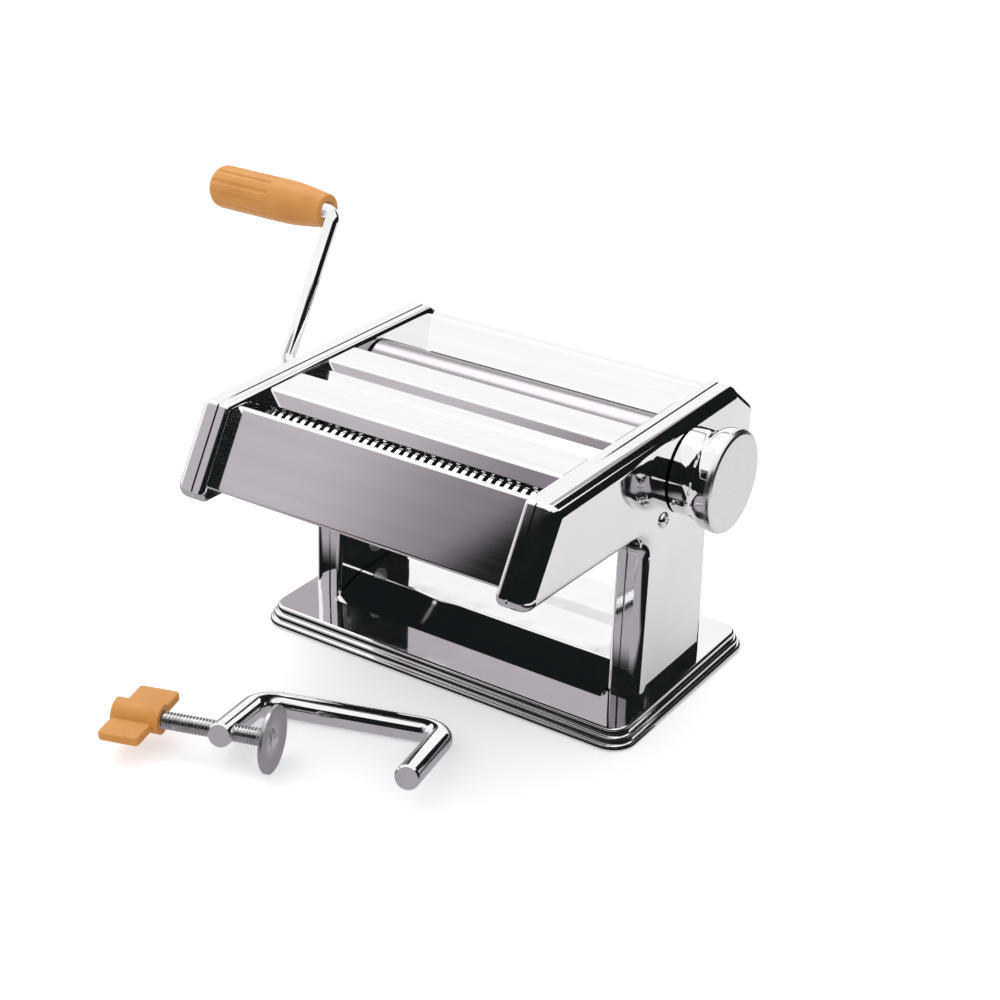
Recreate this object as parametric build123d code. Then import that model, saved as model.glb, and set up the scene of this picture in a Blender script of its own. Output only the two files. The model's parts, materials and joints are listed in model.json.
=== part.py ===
from build123d import *
import math
import os

# Hand-cranked pasta machine: three roller pairs between two boxed side panels on a stamped base.
# X points to the dial side, -Y to the front panel, Z up; the origin is the base's centre on the table.

os.makedirs("parts", exist_ok=True)

# Side panels: an inner dished plate and an outer dished cover that meet at a seam
sheet = 1.2
plate_depth = 6.0
cover_depth = 10.6
edge_round = 6.0
plate_edge_round = 2.4
seam_bevel = 0.5
head_top = 137.0
head_front = -106.0
front_lean = 0.588
head_rear = 65.0
rear_chamfer_y = 19.0
rear_chamfer_z = 14.5
underside = 93.5
underside_rise = 3.7
column_front = -31.0
column_rear = 28.0
column_taper = 1.5
arch_round = 12.0

# Base: stamped plate with a rim in two steps and a raised middle between the columns, on rubber feet
base_margin = 9.4
base_depth = 121.5
base_corner = 12.0
plateau = 9.5
rim_step = 1.8
rim_height = 3.1
rim_round = 1.3
skirt_gap = 1.0
hump_front = -36.0
hump_rear = 32.0
hump_rise = 6.5
hump_run = 21.0
hump_round = 12.0
hump_end_gap = 0.5
foot_radius = 7.5
foot_inset = 17.0
foot_flange = 3.5
foot_stem_radius = 4.0
foot_screw_y = 17.0
foot_screw_inset = 7.0
foot_screw_radius = 2.0
foot_nut_radius = 3.2
foot_nut_height = 3.0

# Rollers and cutters
roller_length = 150.0
roller_end_gap = 1.0
smooth_radius = 12.5
smooth_drop = 15.5
rear_roller_y = 1.5
nip_least = 0.3
nip_travel = 2.2
cutter_radius = 9.0
cutter_spacing = 17.2
narrow_groove = 2.8
wide_groove = 1.8
narrow_drop = 18.0
narrow_front_y = -98.0
wide_drop = 26.0
wide_rear_y = -45.0
narrow_pitch = 4.28
wide_pitch = 13.2
disc_side_gap = 0.3
shaft_radius = 4.0
drive_shaft_radius = 5.5
rear_journal_radius = 5.0
running_fit = 0.05

# Gears in the left box, one layer for each pair
gear_teeth = 12
gear_width = 3.4
gear_layer_pitch = 3.9
gear_clear = 0.7
pressure_angle = math.radians(20.0)
tooth_addendum = 0.64
tooth_dedendum = 0.86
tooth_backlash = 0.32
shaft_overhang = 0.3

# Bushes and the square crank sockets
bush_wall = 1.6
bush_flange = 1.5
bush_flange_thickness = 1.0
socket_square = 6.2
socket_depth = 14.0
tang_play = 0.1
socket_ring_wall = 1.3
socket_ring_inside = 1.0
socket_ring_lip = 1.6

# Sliding blocks of the rear roller
block_half = 8.0
block_flange = 2.0
block_flange_thickness = 3.0
block_play = 0.08
block_flange_gap = 0.1

# Dial on the right cover
dial_y = 2.0
dial_z = 113.0
dial_turn_degrees = 270.0
dial_shaft_radius = 4.0
dial_shaft_flat = 3.0
scroll_radius = 15.0
scroll_thickness = 4.0
scroll_start = 8.0
drive_pin_radius = 1.5
slot_play = 0.35
knob_gap = 0.8
knob_base_radius = 19.9
knob_rim_radius = 23.2
knob_length = 18.6
knob_wall = 2.0
knob_hub_radius = 9.0
cap_thickness = 3.0
cap_round = 1.6
spring_wire = 0.8
spring_radius = 5.8
spring_turns = 3
spring_space = 6.0
stop_pin_radius = 1.5
stop_pin_orbit = 14.0

# Folded sheet between the panels
fold_sheet = 1.0
fold_round = 1.4
panel_recess = 5.9
panel_drop = 2.8
panel_height = 32.4
panel_roll = 2.2
panel_lip = 7.0
hood_drop = 1.6
hood_clear = 1.6
front_hood_front = -77.4
front_hood_rear = -55.4
front_hood_back = 10.9
hood_lean = 0.6
rear_hood_front = -36.0
rear_hood_rear = -17.0
rear_hood_skirt = 4.0
rear_hood_lip = 5.7
rear_hood_fall = 4.0
rear_hood_tail = 2.4
feed_drop = 3.4
feed_foot_y = 25.6
feed_foot_z = 119.0
feed_skirt = 12.0
feed_crest_y = 43.2
feed_flange = 5.0
rear_recess = 3.2
rear_flange = 8.0
rear_lift = 4.5

# Crank: one bent round bar, its square end in the socket and its far end inside the grip
crank_standoff = 19.4
crank_radius = 75.0
crank_angle = 30.8
crank_rod_radius = 3.4
crank_bend = 4.4
shank_gap = 0.6
grip_length = 68.5
grip_gap = 0.5
grip_radius = 10.6
grip_neck_radius = 8.2
grip_taper = 25.0
grip_end_round = 5.5
grip_recess_radius = 5.2
grip_recess = 4.2
grip_solid_end = 10.0
grip_flutes = 12
flute_radius = 1.9
flute_depth = 0.55
flute_reach = 38.0

# Clamp lying in front of the machine
clamp_rod_radius = 5.6
clamp_span = 86.9
clamp_insert_leg = 56.8
clamp_screw_leg = 48.0
clamp_bend = 11.0
clamp_corner_x = 33.3
clamp_corner_y = -96.4
clamp_heading = 18.0
screw_radius = 4.0
screw_setback = 6.4
pad_radius = 15.0
pad_offset = 20.4
wing_offset = 28.6
wing_span = 35.0
wing_length = 19.2
wing_thickness = 4.2
wing_corner = 2.0
wing_skew = 8.5
wing_turn = 8.0
wing_hub_radius = 6.6
wing_hub_length = 22.0
wing_shift = 0.3

# Rods, screws, scrapers and combs
tie_radius = 3.6
tie_screw_radius = 2.0
tie_front_y = -70.0
tie_front_z = 127.5
tie_rear_y = 50.0
tie_rear_z = 108.0
tie_low_y = 19.5
tie_low_z = 97.5
tie_screw_length = 8.0
screw_head_radius = 3.8
cover_screw_y = -18.4
cover_screw_z = 96.5
cover_screw_radius = 1.8
clamp_hole_z = 28.5
sleeve_wall = 1.2
sleeve_play = 0.4
scraper_gap = 0.45
scraper_drop = 6.5
scraper_foot = 1.0
scraper_lean = 3.5
comb_height = 4.0
comb_thickness = 2.0
comb_gap = 0.45

smooth_z = head_top - smooth_drop
narrow_z = head_top - narrow_drop
wide_z = head_top - wide_drop
roller_half = roller_length / 2
inner_half = roller_half + roller_end_gap
seam_half = inner_half + plate_depth
outer_half = seam_half + cover_depth
front_roller_y = rear_roller_y - 2 * smooth_radius - nip_least
narrow_rear_y = narrow_front_y + cutter_spacing
wide_front_y = wide_rear_y - cutter_spacing
narrow_discs = int(roller_length / narrow_pitch)
wide_discs = int(roller_length / wide_pitch)
base_length = 2 * (outer_half + base_margin)
tie_places = [(tie_front_y, tie_front_z), (tie_rear_y, tie_rear_z), (tie_low_y, tie_low_z)]
cover_screw_place = (cover_screw_y, cover_screw_z)


def save(name, *solids):
    """Write one node: a single solid, or a group of solids."""
    shape = solids[0] if len(solids) == 1 else Compound(children=list(solids))
    export_step(shape, f"parts/{name}.step")


def rounded_outline(corners):
    """Closed face through (u, v, radius) corners, each rounded by its own tangent arc."""
    edges = []
    count = len(corners)
    ends = []
    for i, (u, v, radius) in enumerate(corners):
        here = Vector(u, v)
        before = (Vector(*corners[i - 1][:2]) - here).normalized()
        after = (Vector(*corners[(i + 1) % count][:2]) - here).normalized()
        half = math.acos(max(-1.0, min(1.0, before.dot(after)))) / 2
        reach = radius / math.tan(half)
        bisector = (before + after).normalized()
        middle = here + bisector * (radius / math.sin(half) - radius)
        ends.append((here + before * reach, middle, here + after * reach))
    for i, (start, middle, stop) in enumerate(ends):
        edges.append(ThreePointArc(start, middle, stop))
        edges.append(Line(stop, ends[(i + 1) % count][0]))
    return make_face(edges)


def folded_outline(path, radius, thickness):
    """Face of a sheet folded along a path of (y, z) points with one bend radius at its middle."""
    points = [Vector(*p) for p in path]
    ways = [(b - a).normalized() for a, b in zip(points, points[1:])]
    left = [Vector(-w.Y, w.X) for w in ways]

    def side(shift):
        edges = []
        start = points[0] + left[0] * shift
        for i in range(1, len(points) - 1):
            turn = math.asin(max(-1.0, min(1.0, ways[i - 1].cross(ways[i]).Z)))
            if ways[i - 1].dot(ways[i]) < 0:
                turn = math.copysign(math.pi, turn) - turn
            reach = radius * math.tan(abs(turn) / 2)
            hand = math.copysign(1.0, turn)
            enter = points[i] - ways[i - 1] * reach
            leave = points[i] + ways[i] * reach
            centre = enter + left[i - 1] * (radius * hand)
            outward = ((enter - centre) + (leave - centre)).normalized()
            arc_in = enter + left[i - 1] * shift
            arc_out = leave + left[i] * shift
            edges.append(Line(start, arc_in))
            edges.append(ThreePointArc(arc_in, centre + outward * (radius - hand * shift), arc_out))
            start = arc_out
        stop = points[-1] + left[-1] * shift
        edges.append(Line(start, stop))
        return edges, stop

    one, one_end = side(thickness / 2)
    two, two_end = side(-thickness / 2)
    first = Line(points[0] + left[0] * (thickness / 2), points[0] - left[0] * (thickness / 2))
    return make_face(one + two + [first, Line(one_end, two_end)])


def across(outline, x_from, x_to):
    """Extrude a (y, z) face along X."""
    return extrude(Plane.YZ.offset(x_from) * outline, amount=x_to - x_from)


def turned(profile, y, z):
    """Revolve (x, radius) points about the X direction through (y, z)."""
    outline = make_face(Polyline(*profile, close=True))
    axis = Axis((0, y, z), (1, 0, 0))
    return revolve(Pos(0, y, z) * outline, axis)


def rod(x_from, x_to, radius, y, z):
    """Plain round bar along X."""
    low, high = sorted((x_from, x_to))
    return turned([(low, 0), (low, radius), (high, radius), (high, 0)], y, z)


def ring(x_from, x_to, inside, outside, y, z):
    """Plain ring along X."""
    low, high = sorted((x_from, x_to))
    return turned([(low, inside), (low, outside), (high, outside), (high, inside)], y, z)


def to_left(solid):
    """The same piece on the left side."""
    return mirror(solid, about=Plane.YZ)


# Side panels
front_foot = head_front - front_lean * (head_top - underside - underside_rise)
panel_outline = rounded_outline([
    (head_front, head_top, 2.5),
    (head_rear - rear_chamfer_y, head_top, 3.0),
    (head_rear, head_top - rear_chamfer_z, 4.0),
    (head_rear, underside + 1.0, 5.0),
    (column_rear - column_taper, underside, arch_round),
    (column_rear + column_taper, 0, 1.5),
    (column_front - column_taper / 2, 0, 1.5),
    (column_front + column_taper, underside, arch_round),
    (front_foot, underside + underside_rise, 4.5),
])
hollow_outline = offset(panel_outline, amount=-sheet)


def above(solid, level):
    """The part of a panel's solid that stands above a level near its foot."""
    size = 2 * outer_half
    return solid - Pos(0, 0, level - size / 2) * Box(2 * size, 2 * size, size)


def dished(x_from, x_to, round_radius):
    """Open dish of sheet, its floor at x_to with a rounded edge, its open edge bevelled at the seam."""
    step = math.copysign(1.0, x_to - x_from)
    floor_side, open_side = (-1, 0) if step > 0 else (0, -1)
    block = across(panel_outline, x_from, x_to)
    block = fillet(block.faces().sort_by(Axis.X)[floor_side].edges(), round_radius)
    block = chamfer(block.faces().sort_by(Axis.X)[open_side].edges(), seam_bevel)
    inside = across(hollow_outline, x_from, x_to - step * sheet)
    inner_rim = inside.faces().sort_by(Axis.X)[floor_side].edges()
    inside = fillet(inner_rim, round_radius - sheet + 0.4)
    return above(block, plateau) - above(inside, plateau + sheet)


shafts = {
    "narrow_front": (narrow_front_y, narrow_z, shaft_radius),
    "narrow_rear": (narrow_rear_y, narrow_z, drive_shaft_radius),
    "wide_front": (wide_front_y, wide_z, shaft_radius),
    "wide_rear": (wide_rear_y, wide_z, drive_shaft_radius),
    "smooth_front": (front_roller_y, smooth_z, drive_shaft_radius),
}
driven = ["narrow_rear", "wide_rear", "smooth_front"]

web = inner_half + sheet
plate = dished(seam_half, inner_half, plate_edge_round)
for y, z, radius in shafts.values():
    plate -= rod(inner_half - 1, web + 1, radius + running_fit + bush_wall, y, z)
window_y = rear_roller_y + nip_travel / 2
window = Box(4 * sheet, 2 * (block_half + block_play) + nip_travel, 2 * (block_half + block_play))
plate -= Pos(inner_half, window_y, smooth_z) * window
for y, z in tie_places:
    plate -= rod(inner_half - 1, web + 1, tie_screw_radius, y, z)
plate -= rod(inner_half - 1, web + 1, cover_screw_radius, *cover_screw_place)
foot_screws = [outer_half - foot_screw_inset, foot_screw_y]
foot_cut = Cylinder(1.05 * foot_screw_radius, 4 * sheet)
sleeve_outer = clamp_rod_radius + sleeve_play + sleeve_wall
plate_left = to_left(plate) - rod(-inner_half + 1, -web - 1, sleeve_outer, 0, clamp_hole_z)

cover = dished(seam_half, outer_half, edge_round)
for y in (-foot_screws[1], foot_screws[1]):
    cover -= Pos(foot_screws[0], y, plateau) * foot_cut
cover -= rod(outer_half - 3, outer_half + 1, cover_screw_radius, *cover_screw_place)
dial_bush_outer = dial_shaft_radius + running_fit + bush_wall
cover_right = cover - rod(outer_half - 3, outer_half + 1, dial_bush_outer, dial_y, dial_z)
stop_angle = math.radians(250.0)
stop_y = dial_y + stop_pin_orbit * math.cos(stop_angle)
stop_z = dial_z + stop_pin_orbit * math.sin(stop_angle)
cover_right -= rod(outer_half - 3, outer_half + 1, stop_pin_radius, stop_y, stop_z)
socket_ring_outer = drive_shaft_radius + running_fit + socket_ring_wall
cover_left = to_left(cover) - rod(-outer_half - 1, -outer_half + 3, sleeve_outer, 0, clamp_hole_z)
for name in driven:
    y, z, radius = shafts[name]
    cover_left -= rod(-outer_half - 1, -outer_half + 3, socket_ring_outer, y, z)

save("plate_right", plate)
save("plate_left", plate_left)
save("cover_right", cover_right)
save("cover_left", cover_left)

# Base plate: three stacked outlines for the stepped rim, hollow underneath
def rim_stack(inset, drop, round_radius):
    """Rim steps as one solid, inset all round and lowered for the hollow."""
    top = [rim_height, 2 * rim_height, plateau]
    stack = None
    for i, height in enumerate(top):
        shrink = inset + i * rim_step
        size = (base_length - 2 * shrink, base_depth - 2 * shrink)
        outline = RectangleRounded(*size, base_corner - shrink)
        layer = extrude(Pos(0, 0, skirt_gap) * outline, amount=height - drop - skirt_gap)
        edge = layer.faces().sort_by(Axis.Z)[-1].edges()
        layer = fillet(edge, round_radius)
        stack = layer if stack is None else stack + layer
    return stack


def hump(inset, bottom):
    """Raised middle with sloping front and rear, inset by the sheet for its hollow side."""
    slope = math.atan2(hump_rise, hump_run)
    crest = plateau + hump_rise - inset
    shift = inset / math.sin(slope) + (crest - plateau) / math.tan(slope)
    spread = (crest - bottom) / math.tan(slope)
    front = hump_front + shift
    rear = hump_rear - shift
    face = make_face(Polyline((front - spread, bottom), (front, crest), (rear, crest),
                              (rear + spread, bottom), close=True))
    face = fillet(face.vertices().sort_by(Axis.Y)[-2:], hump_round - inset)
    reach = inner_half - hump_end_gap - inset
    return across(face, -reach, reach)


base = rim_stack(0, 0, rim_round) - rim_stack(sheet, sheet, rim_round / 2)
base += hump(0, plateau - sheet / 2)
base -= hump(sheet, plateau - 2 * sheet)
for x in (-foot_screws[0], foot_screws[0]):
    for y in (-foot_screws[1], foot_screws[1]):
        base -= Pos(x, y, plateau) * foot_cut
save("base_plate", base)

def foot(stem_top):
    """Round rubber foot with a stem up to the sheet above it."""
    half = make_face(Polyline(
        (0, 0), (foot_radius - 0.8, 0), (foot_radius, 0.8), (foot_radius, foot_flange - 0.6),
        (foot_radius - 0.6, foot_flange), (foot_stem_radius, foot_flange),
        (foot_stem_radius, stem_top), (0, stem_top), close=True))
    return Rot(90, 0, 0) * revolve(half, Axis.Y)


corner_feet = [Pos(sx * (base_length / 2 - foot_inset), sy * (base_depth / 2 - foot_inset), 0)
               * foot(plateau - sheet) for sx in (-1, 1) for sy in (-1, 1)]
middle_foot = Pos(0, (hump_front + hump_rear) / 2, 0) * foot(plateau + hump_rise - sheet)
save("base_feet", middle_foot, *corner_feet)

screw_floor = plateau - sheet
base_screw = Cylinder(screw_head_radius, 2.4, align=(Align.CENTER, Align.CENTER, Align.MAX))
screw_stem = 2 * sheet + 1.4 * foot_nut_height
base_screw += Cylinder(foot_screw_radius, screw_stem, align=(Align.CENTER, Align.CENTER, Align.MIN))
base_nut = extrude(RegularPolygon(foot_nut_radius, 6), amount=foot_nut_height)
base_nut -= Cylinder(foot_screw_radius, 3 * foot_nut_height)
nut_seat = plateau + sheet
save("base_screws", *[Pos(sx * foot_screws[0], sy * foot_screws[1], screw_floor) * base_screw
                      for sx in (-1, 1) for sy in (-1, 1)])
save("base_nuts", *[Pos(sx * foot_screws[0], sy * foot_screws[1], nut_seat) * base_nut
                    for sx in (-1, 1) for sy in (-1, 1)])

# Clamp sleeve through the left column
sleeve = ring(-inner_half, -outer_half, clamp_rod_radius + sleeve_play, sleeve_outer, 0, clamp_hole_z)
save("clamp_sleeve", sleeve)

# Folded sheet pieces between the side plates
panel_top_y = head_front + panel_recess
panel_top_z = head_top - panel_drop
panel_foot_y = panel_top_y - front_lean * panel_height
panel_foot_z = panel_top_z - panel_height
slot_floor = narrow_z + cutter_radius + hood_clear
panel_roll_skirt = panel_top_z - slot_floor
front_panel = folded_outline([
    (panel_top_y + 1.2 * panel_roll, panel_top_z - panel_roll_skirt),
    (panel_top_y + panel_roll, panel_top_z),
    (panel_top_y, panel_top_z),
    (panel_foot_y, panel_foot_z),
    (panel_foot_y + panel_lip, panel_foot_z - 0.1 * panel_lip),
], 0.9 * fold_sheet, fold_sheet)
hood_top = head_top - hood_drop
front_hood_skirt = hood_top - slot_floor
front_hood = folded_outline([
    (front_hood_front - hood_lean * front_hood_skirt, hood_top - front_hood_skirt),
    (front_hood_front, hood_top),
    (front_hood_rear, hood_top),
    (front_hood_rear + 0.04 * front_hood_back, hood_top - front_hood_back),
], fold_round, fold_sheet)
rear_hood_foot = rear_hood_front - hood_lean * rear_hood_skirt
rear_hood = folded_outline([
    (rear_hood_foot - rear_hood_lip, hood_top - rear_hood_skirt - rear_hood_fall),
    (rear_hood_foot, hood_top - rear_hood_skirt),
    (rear_hood_front, hood_top),
    (rear_hood_rear, hood_top),
    (rear_hood_rear + 0.5 * rear_hood_tail, hood_top - rear_hood_tail),
], fold_sheet, fold_sheet)
feed_top = head_top - feed_drop
feed_plate = folded_outline([
    (feed_foot_y + 0.28 * feed_skirt, feed_foot_z - feed_skirt),
    (feed_foot_y, feed_foot_z),
    (feed_crest_y, feed_top),
    (feed_crest_y + feed_flange, feed_top),
], 2 * fold_sheet, fold_sheet)
rear_face = head_rear - rear_recess
rear_panel = folded_outline([
    (feed_crest_y + 0.5 * feed_flange, feed_top - fold_sheet),
    (feed_crest_y + 1.1 * feed_flange, feed_top - fold_sheet),
    (rear_face, head_top - rear_chamfer_z - 0.3 * rear_recess),
    (rear_face, underside + rear_lift),
    (rear_face - rear_flange, underside + rear_lift),
], fold_round, fold_sheet)
for name, outline in (("front_panel", front_panel), ("front_hood", front_hood), ("rear_hood", rear_hood),
                      ("feed_plate", feed_plate), ("rear_panel", rear_panel)):
    save(name, across(outline, -inner_half, inner_half))

# Scrapers under the smooth rollers, clear of the rear one at its widest setting
scraper_reach = smooth_radius + scraper_gap
scrapers = []
widest_y = rear_roller_y + nip_travel
for y, degrees, lean in ((front_roller_y, 250.0, -scraper_lean), (widest_y, 288.0, scraper_lean)):
    tip_y = y + scraper_reach * math.cos(math.radians(degrees))
    tip_z = smooth_z + scraper_reach * math.sin(math.radians(degrees))
    foot_z = tip_z - scraper_drop
    path = [(tip_y, tip_z - 0.6), (tip_y + lean, foot_z), (tip_y + 2.2 * lean, foot_z - scraper_foot)]
    scrapers.append(across(folded_outline(path, 1.0, 0.8), -inner_half, inner_half))
save("scraper_front", scrapers[0])
save("scraper_rear", scrapers[1])

# Tie rods with a screw at each end
tie_rods = [rod(-inner_half, inner_half, tie_radius, y, z) for y, z in tie_places]
tie_screw_end = web - tie_screw_length
tie_screws = []
for i, (y, z) in enumerate(tie_places):
    screw = turned([
        (tie_screw_end, 0), (tie_screw_end, tie_screw_radius), (web, tie_screw_radius),
        (web, screw_head_radius), (web + 1.4, screw_head_radius), (web + 2.2, screw_head_radius - 1.2),
        (web + 2.2, 0)], y, z)
    tapped = rod(tie_screw_end, inner_half + 1, tie_screw_radius, y, z)
    tie_rods[i] = tie_rods[i] - tapped - to_left(tapped)
    tie_screws += [screw, to_left(screw)]
save("tie_rods", *tie_rods)
save("tie_screws", *tie_screws)

cover_screw = turned([
    (inner_half + 0.2, 0), (inner_half + 0.2, cover_screw_radius), (outer_half, cover_screw_radius),
    (outer_half, screw_head_radius), (outer_half + 0.9, screw_head_radius - 0.3),
    (outer_half + 1.8, screw_head_radius - 1.6), (outer_half + 1.8, 0)], *cover_screw_place)
hex_key = Plane.YZ.offset(outer_half + 0.6) * Pos(*cover_screw_place) * RegularPolygon(1.5, 6)
cover_screw -= extrude(hex_key, amount=3.0)
save("cover_screws", cover_screw, to_left(cover_screw))


# Bushes that carry the shafts in the two plates
def flanged_bush(radius, y, z):
    """Bush pressed into a plate from the box side."""
    bore = radius + running_fit
    wall = bore + bush_wall
    flange_end = web + bush_flange_thickness
    return turned([(inner_half, bore), (inner_half, wall), (web, wall), (web, wall + bush_flange),
                   (flange_end, wall + bush_flange), (flange_end, bore)], y, z)


bushes = []
for y, z, radius in shafts.values():
    bush = flanged_bush(radius, y, z)
    bushes += [bush, to_left(bush)]
save("shaft_bushes", *bushes)
socket_bushes = []
for name in driven:
    y, z, radius = shafts[name]
    bore = radius + running_fit
    lip = socket_ring_outer + socket_ring_lip
    inside = -outer_half + sheet + socket_ring_inside
    socket_bushes.append(turned([
        (-outer_half - 1.0, bore), (-outer_half - 1.0, lip - 0.5), (-outer_half - 0.5, lip),
        (-outer_half, lip), (-outer_half, socket_ring_outer), (inside, socket_ring_outer),
        (inside, bore)], y, z))
save("socket_bushes", *socket_bushes)

# Shaft ends: drive shafts reach the left cover with a square socket, the others stop behind their gear
right_end = web + bush_flange_thickness + 1.5
drive_end = outer_half
gear_layers = {"narrow": 0, "smooth": 1, "wide": 2}


def layer_start(pair):
    """Right face of a pair's gears."""
    return -(web + bush_flange_thickness + gear_clear) - gear_layers[pair] * gear_layer_pitch


def shaft_left(pair, drive):
    """Left end of a shaft."""
    return -drive_end if drive else layer_start(pair) - gear_width - shaft_overhang


def socket_cut(y, z):
    """Square socket in the left end of a drive shaft."""
    return Pos(-drive_end + socket_depth / 2, y, z) * Box(socket_depth, socket_square, socket_square)


def cutter(name, pitch, discs, groove):
    """Cutter turned from one bar: square-edged discs with grooves between them, and its shaft."""
    pair = name.split("_")[0]
    y, z, radius = shafts[name]
    drive = name in driven
    core = cutter_radius - groove
    disc_half = (pitch / 2 - disc_side_gap) / 2
    left_end = shaft_left(pair, drive)
    profile = [(left_end, 0), (left_end, radius), (-roller_half, radius), (-roller_half, core)]
    for i in range(discs):
        middle = (i - (discs - 1) / 2) * pitch
        profile += [(middle - disc_half, core), (middle - disc_half, cutter_radius),
                    (middle + disc_half, cutter_radius), (middle + disc_half, core)]
    profile += [(roller_half, core), (roller_half, radius), (right_end, radius), (right_end, 0)]
    bar = turned(profile, y, z)
    return bar - socket_cut(y, z) if drive else bar


save("narrow_cutter_front", cutter("narrow_front", narrow_pitch, narrow_discs, narrow_groove))
save("narrow_cutter_rear", cutter("narrow_rear", narrow_pitch, narrow_discs - 1, narrow_groove))
save("wide_cutter_front", cutter("wide_front", wide_pitch, wide_discs, wide_groove))
save("wide_cutter_rear", cutter("wide_rear", wide_pitch, wide_discs - 1, wide_groove))


def smooth(y, radius, left_end, right):
    """Plain roller with its shaft."""
    edge = 0.6
    return turned([
        (left_end, 0), (left_end, radius), (-roller_half, radius), (-roller_half, smooth_radius - edge),
        (-roller_half + edge, smooth_radius), (roller_half - edge, smooth_radius),
        (roller_half, smooth_radius - edge), (roller_half, radius), (right, radius),
        (right, 0)], y, smooth_z)


front_roller = smooth(front_roller_y, drive_shaft_radius, -drive_end, right_end)
save("roller_front", front_roller - socket_cut(front_roller_y, smooth_z))
block_out = web + block_flange_gap + block_flange_thickness
rear_left = shaft_left("smooth", False)
save("roller_rear", smooth(rear_roller_y, rear_journal_radius, rear_left, block_out + 0.5))


def gear(pair, centre_distance, y, z, bore, phase):
    """Spur gear with involute teeth, its first tooth at the phase angle."""
    pitch_radius = centre_distance / 2
    module = centre_distance / gear_teeth
    tip = pitch_radius + tooth_addendum * module
    root = pitch_radius - tooth_dedendum * module
    base_circle = pitch_radius * math.cos(pressure_angle)
    half_tooth_angle = (math.pi * module / 4 - tooth_backlash / 2) / pitch_radius

    def flank(radius):
        """Half of the tooth's angle at a radius, by the involute of the base circle."""
        slope = math.acos(min(1.0, base_circle / radius))
        involute = math.tan(slope) - slope
        return half_tooth_angle + math.tan(pressure_angle) - pressure_angle - involute

    flank_radii = [root, pitch_radius, tip]
    outline = []
    for i in range(gear_teeth):
        middle = phase + i * 2 * math.pi / gear_teeth
        for radius in flank_radii:
            angle = middle - flank(radius)
            outline.append((radius * math.cos(angle), radius * math.sin(angle)))
        for radius in reversed(flank_radii):
            angle = middle + flank(radius)
            outline.append((radius * math.cos(angle), radius * math.sin(angle)))
    face = make_face(Polyline(*outline, close=True)) - Circle(bore)
    start = layer_start(pair)
    return across(Pos(y, z) * face, start - gear_width, start)


smooth_spacing = rear_roller_y - front_roller_y
half_step = math.pi / gear_teeth
gears = [
    ("narrow_front", cutter_spacing, 0),
    ("narrow_rear", cutter_spacing, half_step),
    ("wide_front", cutter_spacing, 0),
    ("wide_rear", cutter_spacing, half_step),
    ("smooth_front", smooth_spacing, 0),
]
for name, spacing, phase in gears:
    save("gear_" + name, gear(name.split("_")[0], spacing, *shafts[name], phase))
rear_gear = gear("smooth", smooth_spacing, rear_roller_y, smooth_z, rear_journal_radius, half_step)
save("gear_smooth_rear", rear_gear)


# Combs: a strip under each cutter with a finger in every groove
def comb(name, pitch, discs, groove):
    """Strip with fingers that reach into the grooves of one cutter."""
    y, z, radius = shafts[name]
    core = cutter_radius - groove
    finger_top = z - core - comb_gap
    strip_top = z - cutter_radius - 1.6
    finger_width = pitch / 2 - 2 * disc_side_gap - 0.2
    strip = Pos(0, y, strip_top - comb_height / 2) * Box(2 * inner_half, comb_thickness, comb_height)
    grooves = [(i - discs / 2 + 1) * pitch for i in range(discs - 1)]
    for x in grooves:
        finger = Box(finger_width, comb_thickness, finger_top - strip_top + 1.0)
        strip += Pos(x, y, (finger_top + strip_top - 1.0) / 2) * finger
    return strip


save("comb_narrow_front", comb("narrow_front", narrow_pitch, narrow_discs, narrow_groove))
save("comb_narrow_rear", comb("narrow_rear", narrow_pitch, narrow_discs - 1, narrow_groove))
save("comb_wide_front", comb("wide_front", wide_pitch, wide_discs, wide_groove))
save("comb_wide_rear", comb("wide_rear", wide_pitch, wide_discs - 1, wide_groove))

# Sliding blocks that carry the rear roller in windows of the plates
block_bore = rear_journal_radius + running_fit
flange_half = block_half + block_flange
flange_start = web + block_flange_gap
block_width = flange_start - inner_half
block = Box(block_width, 2 * block_half, 2 * block_half)
block = Pos(inner_half + block_width / 2, rear_roller_y, smooth_z) * block
flange_middle = flange_start + block_flange_thickness / 2
flange = Box(block_flange_thickness, 2 * flange_half + nip_travel, 2 * flange_half)
block += Pos(flange_middle, rear_roller_y, smooth_z) * flange
pin_y = dial_y + scroll_start
pin_pad_low = dial_z - 3.5
pin_pad_half = (smooth_z - pin_pad_low) / 2
pin_pad = Box(block_flange_thickness, 9.0, 2 * pin_pad_half)
bore_cut = rod(inner_half - 1, block_out + 1, block_bore, rear_roller_y, smooth_z)
scroll_left = block_out + 1.6
scroll_right = scroll_left + scroll_thickness
drive_pin = rod(block_out - 1.0, scroll_right - 0.4, drive_pin_radius, pin_y, dial_z)
block_right = block + Pos(flange_middle, pin_y - 1.0, smooth_z - pin_pad_half) * pin_pad
block_right = block_right - bore_cut + drive_pin
save("block_right", block_right)
save("block_left", to_left(block - bore_cut))

# Dial shaft: scroll disc inside the box, spiral slot around the drive pin
slot_half = drive_pin_radius + slot_play
spiral_steps = 12


def spiral(shift):
    """Edge of the spiral slot, at a radial shift from its middle line."""
    points = []
    for i in range(spiral_steps + 1):
        turn = dial_turn_degrees * i / spiral_steps
        radius = scroll_start + nip_travel * i / spiral_steps + shift
        points.append((radius * math.cos(math.radians(-turn)), radius * math.sin(math.radians(-turn))))
    return points


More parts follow.
